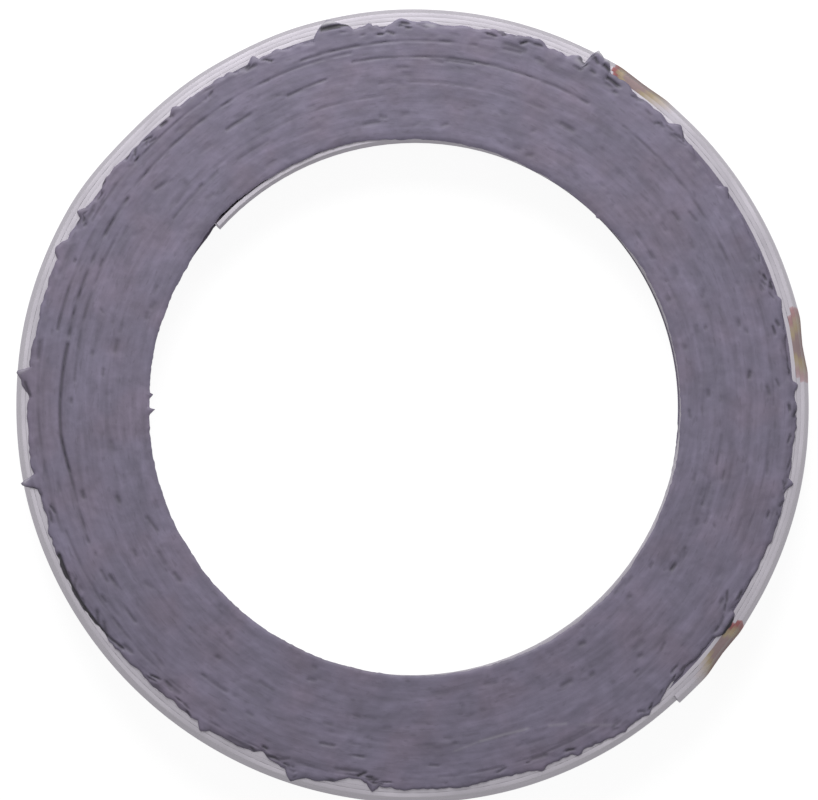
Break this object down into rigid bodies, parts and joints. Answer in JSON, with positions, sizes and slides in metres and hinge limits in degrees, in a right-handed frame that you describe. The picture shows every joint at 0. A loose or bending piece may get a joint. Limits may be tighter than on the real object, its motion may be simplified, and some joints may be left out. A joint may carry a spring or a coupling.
{
  "type": "spiral-wound exhaust gasket",
  "caption": "Flat ring gasket for an exhaust flange joint: a V-section steel strip wound in a spiral with graphite filler, with graphite sealing faces and a bare steel rim.",
  "frame": {"origin": "centre of the lower sealing face, on the axis of the ring", "axes": "+Z along the ring's axis, out of the upper sealing face; +X to the right and +Y up in the picture's top view"},
  "size_m": [0.06, 0.0597, 0.005],
  "materials": {
    "steel": "satin",
    "graphite": "matte"
  },
  "bodies": {
    "root": {"steel_strip": "steel", "graphite_filler": "graphite"}
  },
  "joints": []
}
